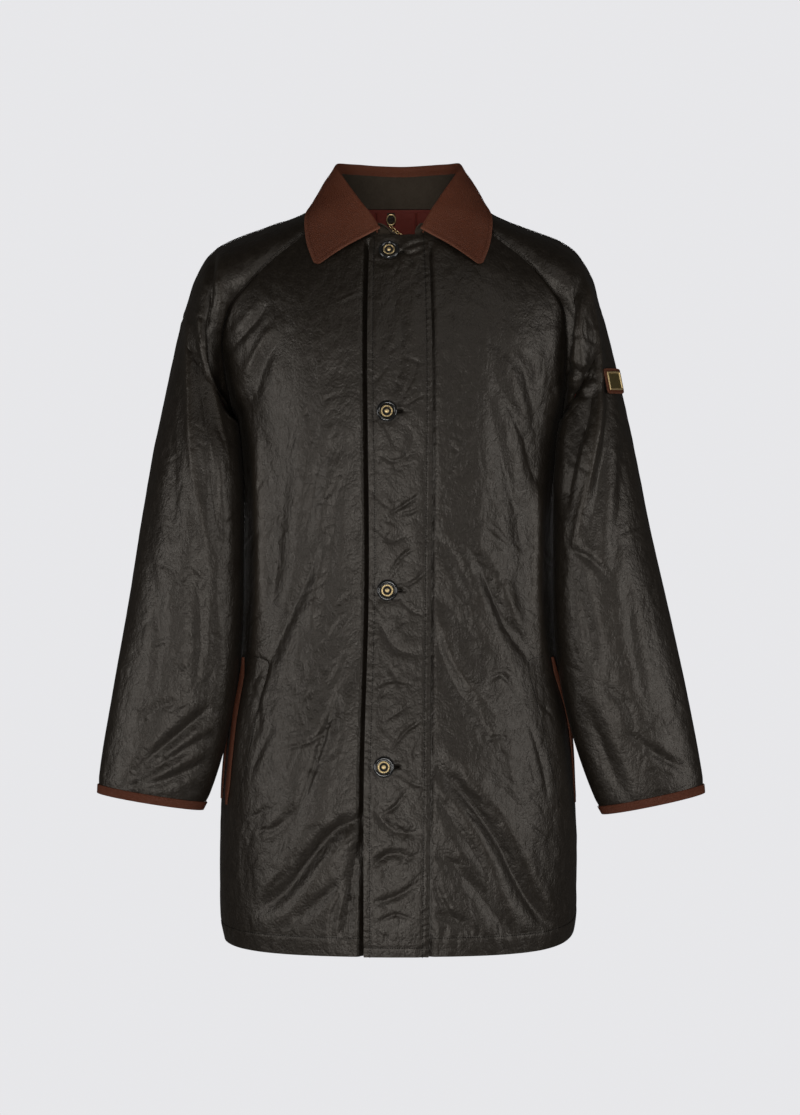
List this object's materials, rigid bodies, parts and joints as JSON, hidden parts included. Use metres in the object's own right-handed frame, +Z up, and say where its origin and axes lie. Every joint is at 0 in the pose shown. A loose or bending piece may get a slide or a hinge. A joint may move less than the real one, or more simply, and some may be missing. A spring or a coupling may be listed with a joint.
{
  "type": "wax jacket",
  "caption": "Waxed cotton jacket filled out as worn, with raglan sleeves, leather shirt collar, buttoned placket, bound cuffs and curved side pockets.",
  "frame": {"origin": "base of the neck, between the shoulders that carry the jacket", "axes": "+Z up, -Y towards the front, +X towards the wearer's left"},
  "size_m": [0.7107, 0.2911, 0.921],
  "materials": {
    "waxed_cotton": "waxed, satin sheen",
    "collar_leather": "grained, semi-matt",
    "lining_cloth": "smooth lining twill",
    "button_black": "polished",
    "brass": "polished"
  },
  "bodies": {
    "root": {"front_left": "waxed_cotton", "front_right": "waxed_cotton", "back": "waxed_cotton", "sleeve_left_front": "waxed_cotton", "sleeve_left_back": "waxed_cotton", "sleeve_right_front": "waxed_cotton", "sleeve_right_back": "waxed_cotton", "placket": "waxed_cotton", "collar_stand": "waxed_cotton", "collar_fall": "collar_leather", "cuff_binding_left": "collar_leather", "cuff_binding_right": "collar_leather", "pocket_lip_front_left": "collar_leather", "pocket_lip_back_left": "collar_leather", "pocket_lip_front_right": "collar_leather", "pocket_lip_back_right": "collar_leather", "badge_patch": "collar_leather", "badge_plate": "brass", "neck_lining": "lining_cloth", "button_1": "button_black", "button_2": "button_black", "button_3": "button_black", "button_4": "button_black", "button_inset_1": "brass", "button_inset_2": "brass", "button_inset_3": "brass", "button_inset_4": "brass", "hanger_tab_left": "waxed_cotton", "hanger_tab_right": "waxed_cotton", "hanger_ring_left": "brass", "hanger_ring_right": "brass", "hanger_chain": "brass"}
  },
  "joints": []
}
